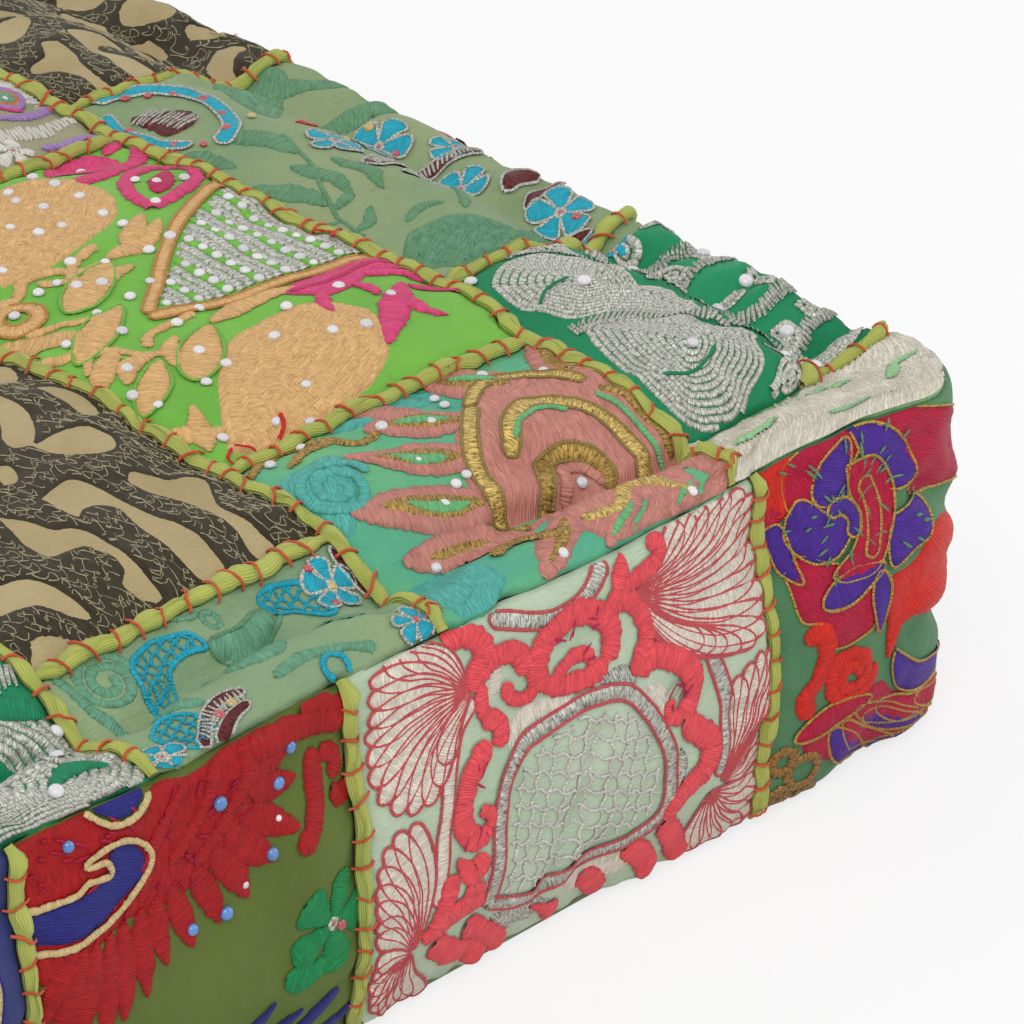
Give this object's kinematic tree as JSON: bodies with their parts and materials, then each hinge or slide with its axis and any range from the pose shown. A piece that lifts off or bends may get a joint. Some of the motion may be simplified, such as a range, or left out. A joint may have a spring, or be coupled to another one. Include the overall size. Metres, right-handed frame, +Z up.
{
  "type": "pouf",
  "caption": "Low square floor pouf with a wadded core, a case of embroidered patchwork with corded seams, a rolled quilted edge, and a zip in its flat underside.",
  "frame": {"origin": "middle of the underside, on the floor", "axes": "+Z up; +X right and -Y front, so that the pictured corner is the one at +X -Y"},
  "size_m": [0.5092, 0.5092, 0.1316],
  "materials": {
    "emerald_patch": "emerald silk with silver couched thread and pearls",
    "jade_patch": "jade cotton with dusty pink satin stitch, gold thread and pearls",
    "sage_patch": "sage silk with tone-on-tone leaves and turquoise flowers",
    "beige_patch": "beige cotton with thick olive-brown branching applique",
    "lime_patch": "bright green silk with golden peach scrolls and pearl rows",
    "mint_patch": "mint cotton with coral scrolls and cream feather fans",
    "crimson_patch": "grey-green silk with crimson and purple petals outlined in gold",
    "linen_patch": "off-white satin and lace",
    "olive_patch": "olive silk with thick red satin feathers and blue stones",
    "indigo_patch": "indigo cotton with cream and green couched cords",
    "yarn_cord": "couched lime-green yarn with red overcast stitches",
    "wadding": "packed cotton wadding",
    "lining_cotton": "plain unbleached calico",
    "base_cotton": "plain green cotton canvas",
    "zip_tape": "woven polyester tape",
    "zip_teeth": "moulded teeth",
    "zip_metal": "antique brass"
  },
  "bodies": {
    "pouf": {"top_1a_emerald_paisley": "emerald_patch", "top_1b_jade_lotus": "jade_patch", "top_1c_sage_blossom": "sage_patch", "top_1d_beige_scroll": "beige_patch", "top_2a_silver_paisley": "emerald_patch", "top_2b_gold_lime": "lime_patch", "top_2c_mint_medallion": "mint_patch", "top_2d_sage_lattice": "sage_patch", "top_3a_sage_lattice": "sage_patch", "top_3b_beige_scroll": "beige_patch", "top_3c_jade_lotus": "jade_patch", "top_3d_crimson_rose": "crimson_patch", "top_3e_emerald_paisley": "emerald_patch", "top_4a_jade_lotus": "jade_patch", "top_4b_gold_lime": "lime_patch", "top_4c_linen_lace": "linen_patch", "top_4d_sage_blossom": "sage_patch", "top_5a_white_band": "linen_patch", "top_5b_silver_paisley": "emerald_patch", "top_5c_sage_blossom": "sage_patch", "top_5d_beige_scroll": "beige_patch", "top_5e_gold_lime": "lime_patch", "side_front_red_wing": "olive_patch", "side_front_coral_medallion": "mint_patch", "side_corner_crimson_rose": "crimson_patch", "side_right_sage_blossom": "sage_patch", "side_right_gold_lime": "lime_patch", "side_right_coral_medallion": "mint_patch", "side_corner_emerald_paisley": "emerald_patch", "side_back_red_wing": "olive_patch", "side_back_crimson_rose": "crimson_patch", "side_corner_jade_lotus": "jade_patch", "side_left_coral_medallion": "mint_patch", "side_left_beige_scroll": "beige_patch", "side_left_sage_lattice": "sage_patch", "side_corner_indigo_daisy": "indigo_patch", "cord_column_1": "yarn_cord", "cord_column_2": "yarn_cord", "cord_column_3": "yarn_cord", "cord_column_4": "yarn_cord", "cords_across_1": "yarn_cord", "cords_across_2": "yarn_cord", "cords_across_3": "yarn_cord", "cords_across_4": "yarn_cord", "cords_across_5": "yarn_cord", "side_cords": "yarn_cord", "filling": "wadding", "lining_top": "lining_cotton", "lining_boxing": "lining_cotton", "lining_base": "lining_cotton", "base_front": "base_cotton", "base_back": "base_cotton", "zip_tape_front": "zip_tape", "zip_tape_back": "zip_tape", "zip_teeth_front": "zip_teeth", "zip_teeth_back": "zip_teeth", "zip_stops": "zip_metal"},
    "zip_slider": {"zip_slider": "zip_metal"},
    "zip_pull": {"zip_pull": "zip_metal"}
  },
  "joints": [
    {"name": "slider_travel", "type": "slide", "parent": "pouf", "child": "zip_slider", "axis": [-1, 0, 0], "range_m": [0, 0.3689], "deforming": ["zip_teeth_front", "zip_teeth_back"]},
    {"name": "pull_swing", "type": "hinge", "parent": "zip_slider", "child": "zip_pull", "pos_m": [0.1862, 0, 0.0046], "axis": [0, -1, 0], "range_deg": [0, 170]}
  ]
}
